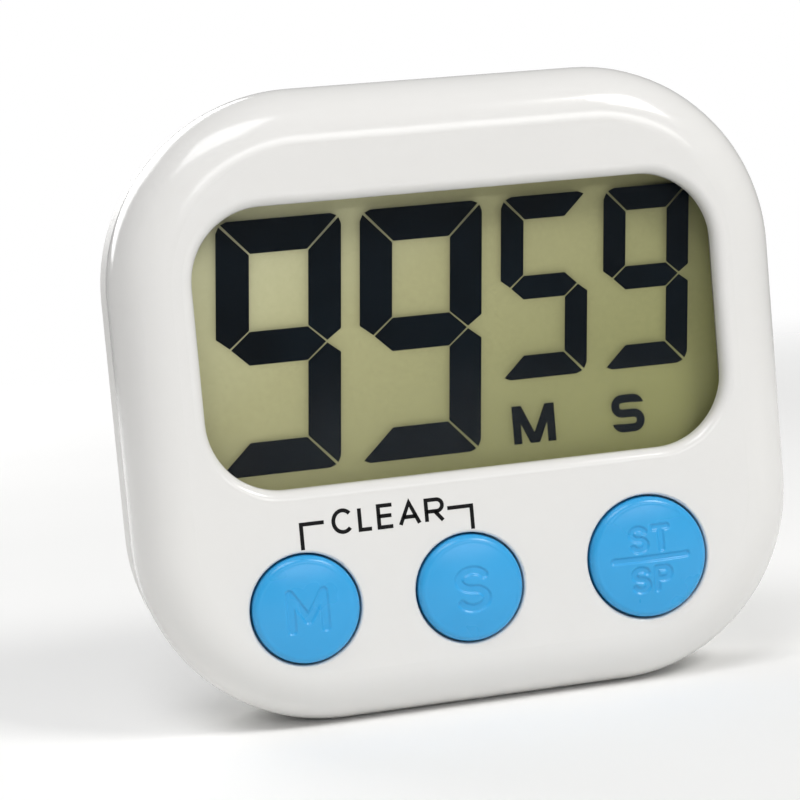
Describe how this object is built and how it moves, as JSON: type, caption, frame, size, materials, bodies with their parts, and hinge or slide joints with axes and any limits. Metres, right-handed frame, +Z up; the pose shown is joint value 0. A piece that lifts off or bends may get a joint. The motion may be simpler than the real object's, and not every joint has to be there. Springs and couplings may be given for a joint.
{
  "type": "kitchen timer",
  "caption": "Digital kitchen timer with a rounded white case, a recessed segment display, domed push buttons, a rear stand and magnets.",
  "frame": {"origin": "middle of the footprint, on the surface that the timer stands on", "axes": "+Z up, +X to the right of someone reading the display, and the display faces -Y"},
  "size_m": [0.0842, 0.0224, 0.0781],
  "materials": {
    "case_white": "gloss white ABS",
    "button_blue": "satin blue ABS",
    "lens_clear": "clear acrylic",
    "tape_dark": "foam tape",
    "display_glass": "thin clear glass",
    "front_film": "polarising film",
    "rear_film": "olive reflecting film",
    "display_ink": "dark segments",
    "retainer_white": "moulded ABS",
    "strip_dark": "layered conductive rubber",
    "strip_rubber": "silicone",
    "carbon": "carbon filled",
    "board_green": "glass epoxy with solder mask",
    "resin_black": "cured epoxy",
    "can_metal": "drawn can",
    "chip_ceramic": "chip parts",
    "coil_black": "ferrite drum coil",
    "screw_steel": "zinc plated steel",
    "magnet_nickel": "nickel plated",
    "buzzer_brass": "rolled brass",
    "buzzer_white": "piezo ceramic",
    "cell_jacket": "printed steel can, plain",
    "contact_nickel": "nickel plated spring steel",
    "solder": "tin solder",
    "wire_red": "insulated",
    "wire_black": "insulated"
  },
  "bodies": {
    "case": {"aaa_cell": "cell_jacket", "battery_wire_black": "wire_black", "battery_wire_red": "wire_red", "board_screws": "screw_steel", "buzzer_ceramic": "buzzer_white", "buzzer_coil": "coil_black", "buzzer_disc": "buzzer_brass", "buzzer_wire_black": "wire_black", "buzzer_wire_red": "wire_red", "case_screws": "screw_steel", "chip_cover": "resin_black", "circuit_board": "board_green", "crystal_can": "can_metal", "front_shell": "case_white", "key_pads": "carbon", "keypad_sheet": "strip_rubber", "lcd_front_film": "front_film", "lcd_front_glass": "display_glass", "lcd_rear_film": "rear_film", "lcd_rear_glass": "display_glass", "lcd_retainer": "retainer_white", "lcd_segments": "display_ink", "lens": "lens_clear", "lens_tape": "tape_dark", "magnets": "magnet_nickel", "negative_plate": "contact_nickel", "negative_spring": "contact_nickel", "positive_contact": "contact_nickel", "rear_shell": "case_white", "smd_parts": "chip_ceramic", "solder_joints": "solder", "zebra_strip": "strip_dark"},
    "minutes_button": {"minutes_cap": "button_blue", "minutes_plunger": "strip_rubber", "minutes_pill": "carbon"},
    "seconds_button": {"seconds_cap": "button_blue", "seconds_plunger": "strip_rubber", "seconds_pill": "carbon"},
    "start_stop_button": {"start_stop_cap": "button_blue", "start_stop_plunger": "strip_rubber", "start_stop_pill": "carbon"},
    "stand_leg": {"stand": "case_white"},
    "battery_cover": {"battery_door": "case_white"}
  },
  "joints": [
    {"name": "minutes_press", "type": "slide", "parent": "case", "child": "minutes_button", "axis": [0, 1, 0], "range_m": [0, 0.001], "stiffness_N_per_m": 1400},
    {"name": "seconds_press", "type": "slide", "parent": "case", "child": "seconds_button", "axis": [0, 1, 0], "range_m": [0, 0.001], "stiffness_N_per_m": 1400},
    {"name": "start_stop_press", "type": "slide", "parent": "case", "child": "start_stop_button", "axis": [0, 1, 0], "range_m": [0, 0.001], "stiffness_N_per_m": 1400},
    {"name": "stand_fold", "type": "hinge", "parent": "case", "child": "stand_leg", "pos_m": [0, 0.00965, 0.041], "axis": [1, 0, 0], "range_deg": [0, 35]},
    {"name": "battery_door_slide", "type": "slide", "parent": "case", "child": "battery_cover", "axis": [0, 0, 1], "range_m": [0, 0.016]}
  ]
}
